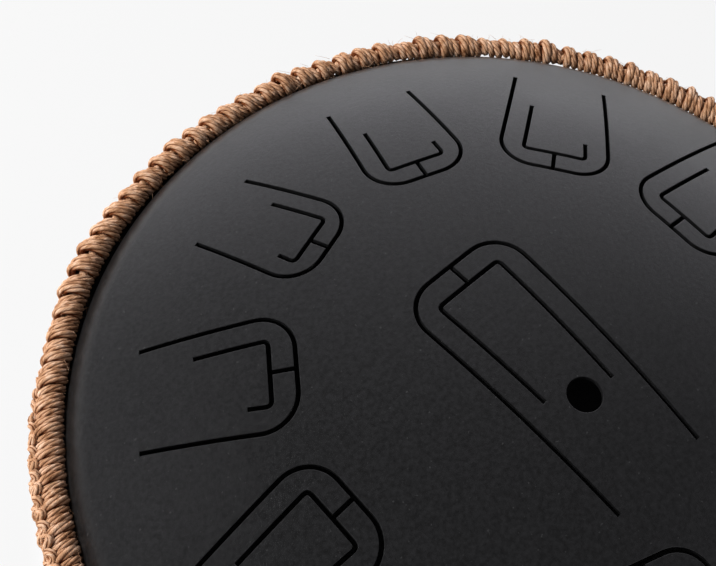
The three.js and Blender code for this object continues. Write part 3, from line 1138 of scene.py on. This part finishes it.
def make_rubber():
    material, nodes, links, shader = new_material("moulded_rubber")
    place = nodes.new("ShaderNodeTexCoord").outputs["Object"]
    skin = noise(nodes, links, place, scale=1500, detail=2)
    shade = ramp(nodes, links, skin, (0.3, (0.006,) * 3), (0.7, (0.011,) * 3))
    links.new(shade, shader.inputs["Base Color"])
    gloss = stretch(nodes, links, skin, *NOISE_RANGE, low=0.62, high=0.78)
    links.new(gloss, shader.inputs["Roughness"])
    bump(nodes, links, shader, skin, distance=0.04 * MM, strength=0.4)
    return material


jute = make_jute()
rubber = make_rubber()
print("made", jute.name, "and", rubber.name)

# %% [markdown]
# ## Put the pieces on the frame
# Each piece gets its material and stands for its CAD node, which then isn't shown. The tongues are
# not attached to any body; everything else rides the drum.

# %% Dress and attach
def dress(piece, material, slot, *nodes):
    piece.data.materials.clear()
    piece.data.materials.append(material)
    if nodes:
        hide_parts(*nodes)


dress(dome_sheet, powder_coat, "powder_coat", "top_shell")
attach(dome_sheet, "drum")
for tongue, plate in zip(TONGUES, plates):
    dress(plate, powder_coat, "powder_coat", tongue["name"])
    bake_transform(plate)
dress(bowl_sheet, powder_coat, "powder_coat", "bottom_shell")
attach(bowl_sheet, "drum")
for index, foot in enumerate(feet):
    dress(foot, rubber, "rubber", f"foot_{index + 1}")
    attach(foot, "drum")
for piece in hitches + [chain, fibres]:
    dress(piece, jute, "jute", "rope_winding")
    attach(piece, "drum")
dress(core, jute, "jute", "rope_core")
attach(core, "drum")

# %% [markdown]
# ## Floor and light
# The picture is a plain studio shot on white. The floor shows its own pale colour to the camera
# and to reflections, keeps a little of the drum's shadow, and is truly dark under the drum, where
# the cuts look through to it. The room is bright low down on the far side and dark overhead, which
# is why the far shoulder of the satin dome glows and its crown stays dark. A soft lamp stands on
# the left and lights the cord.

# %% Floor
PALE = (0.92, 0.92, 0.92)
FLOOR_SIZE = 12
GLOW_FROM, GLOW_FULL = 0.165, 0.195
GLOW_SHARE = 0.93


def seen_or_mirrored(nodes, links):
    """A number that is 1 for rays from the camera, mirrors and glass, and 0 for light."""
    path = nodes.new("ShaderNodeLightPath")
    seen, mirrored = path.outputs["Is Camera Ray"], path.outputs["Is Glossy Ray"]
    either = combine(nodes, links, "MAXIMUM", seen, mirrored)
    return combine(nodes, links, "MAXIMUM", either, path.outputs["Is Transmission Ray"])


def make_floor():
    deselect()
    bpy.ops.mesh.primitive_plane_add(size=FLOOR_SIZE, location=(0, 0, 0))
    floor = bpy.context.object
    name_piece(floor, "pale_floor")
    material, nodes, links, shader = new_material("pale_paper")
    fill(shader, Base_Color=(*PALE, 1), Roughness=0.9, Specular_IOR_Level=0.1)
    glow = nodes.new("ShaderNodeEmission")
    fill(glow, Color=(*PALE, 1))
    place = nodes.new("ShaderNodeTexCoord").outputs["Object"]
    reach = combine_vectors(nodes, links, "LENGTH", place, output="Value")
    outside = stretch(nodes, links, reach, GLOW_FROM, GLOW_FULL, high=GLOW_SHARE)
    share = combine(nodes, links, "MULTIPLY", seen_or_mirrored(nodes, links), outside)
    mix = nodes.new("ShaderNodeMixShader")
    links.new(share, mix.inputs["Fac"])
    links.new(shader.outputs["BSDF"], mix.inputs[1])
    links.new(glow.outputs["Emission"], mix.inputs[2])
    output = next(node for node in nodes if node.type == "OUTPUT_MATERIAL")
    links.new(mix.outputs["Shader"], output.inputs["Surface"])
    floor.data.materials.append(material)
    return floor


floor = make_floor()
print("floor", floor.name)

# %% World and lamps
FAR_SIDE = math.radians(46)
FAR_FROM, FAR_FULL = 0.5, 1
NEAR_STRENGTH, FAR_STRENGTH = 1, 4
ROOM_TINT = (1, 0.985, 1.05)


def make_world():
    world = bpy.data.worlds.new("studio")
    world.use_nodes = True
    bpy.context.scene.world = world
    nodes, links = world.node_tree.nodes, world.node_tree.links
    nodes.clear()
    way = nodes.new("ShaderNodeTexCoord").outputs["Generated"]
    parts = nodes.new("ShaderNodeSeparateXYZ")
    links.new(way, parts.inputs["Vector"])

    def room(strength, *levels):
        """The room's light by height: each level is the sine of an elevation and a grey."""
        stops = [(height, [grey * part for part in ROOM_TINT]) for height, grey in levels]
        light = nodes.new("ShaderNodeBackground")
        links.new(ramp(nodes, links, parts.outputs["Z"], *stops), light.inputs["Color"])
        fill(light, Strength=strength)
        return light.outputs["Background"]

    low_near_levels = [(0, 0.6), (0.07, 0.5), (0.15, 0.3), (0.3, 0.4)]
    high_near_levels = [(0.45, 0.34), (0.6, 0.17), (0.8, 0.145), (1, 0.12)]
    low_far_levels = [(0, 1), (0.06, 0.72), (0.14, 0.27), (0.25, 0.245), (0.35, 0.25)]
    high_far_levels = [(0.45, 0.245), (0.55, 0.185), (0.65, 0.155), (0.85, 0.115), (1, 0.03)]
    near = room(NEAR_STRENGTH, *low_near_levels, *high_near_levels)
    far = room(FAR_STRENGTH, *low_far_levels, *high_far_levels)
    level_way = combine_vectors(nodes, links, "MULTIPLY", way, (1, 1, 0))
    heading = combine_vectors(nodes, links, "NORMALIZE", level_way)
    far_way = (math.cos(FAR_SIDE), math.sin(FAR_SIDE), 0)
    toward = combine_vectors(nodes, links, "DOT_PRODUCT", heading, far_way, output="Value")
    mix = nodes.new("ShaderNodeMixShader")
    links.new(stretch(nodes, links, toward, FAR_FROM, FAR_FULL), mix.inputs["Fac"])
    links.new(near, mix.inputs[1])
    links.new(far, mix.inputs[2])
    output = nodes.new("ShaderNodeOutputWorld")
    links.new(mix.outputs["Shader"], output.inputs["Surface"])


def soft_lamp(name, place, aim, size, watts):
    deselect()
    bpy.ops.object.light_add(type="AREA", location=place)
    lamp = bpy.context.object
    lamp.name = name
    lamp.data.shape = "DISK"
    lamp.data.size = size
    lamp.data.energy = watts
    lamp.rotation_euler = (Vector(aim) - Vector(place)).to_track_quat("-Z", "Y").to_euler()
    return lamp


make_world()
key = soft_lamp("key_softbox", place=(-0.75, 0.75, 1), aim=(0, 0, 0.1), size=0.6, watts=24)
key.visible_glossy = False
print("lamps", key.name)

# %% [markdown]
# ## Camera
# The picture looks down on the drum from the player's left, close enough for strong perspective,
# and is tilted a little. The viewpoint was found by matching the cuts on the dome.

# %% Camera
AIM = Vector((-0.00654, 0.07416, 0.07899))
AZIMUTH, ELEVATION, ROLL = (math.radians(angle) for angle in (-47.3, 61.436, 6.275))
DISTANCE = 0.4273
SENSOR = 36
FOCAL_PIXELS, PICTURE_WIDTH, PICTURE_SHIFT = 1056.24, 716, -2


def make_camera():
    back = Vector(
        (
            math.sin(AZIMUTH) * math.cos(ELEVATION),
            -math.cos(AZIMUTH) * math.cos(ELEVATION),
            math.sin(ELEVATION),
        )
    )
    level = (-back).cross(Vector((0, 0, 1))).normalized()
    upright = level.cross(-back)
    right = math.cos(ROLL) * level + math.sin(ROLL) * upright
    top = -math.sin(ROLL) * level + math.cos(ROLL) * upright
    place = AIM + back * DISTANCE
    deselect()
    bpy.ops.object.camera_add(location=place)
    camera = bpy.context.object
    camera.name = "picture_camera"
    turn = Matrix((right, top, back)).transposed().to_4x4()
    camera.matrix_world = Matrix.Translation(place) @ turn
    camera.data.sensor_fit = "HORIZONTAL"
    camera.data.sensor_width = SENSOR
    camera.data.lens = FOCAL_PIXELS * SENSOR / PICTURE_WIDTH
    camera.data.shift_x = PICTURE_SHIFT / PICTURE_WIDTH
    camera.data.clip_start = 0.01
    bpy.context.scene.camera = camera
    return camera


camera = make_camera()
print("lens", round(camera.data.lens, 2), "mm")

# %% [markdown]
# ## Finish
# The view transform is Standard, so a colour renders as it is written.

# %% View transform
bpy.context.scene.view_settings.view_transform = "Standard"
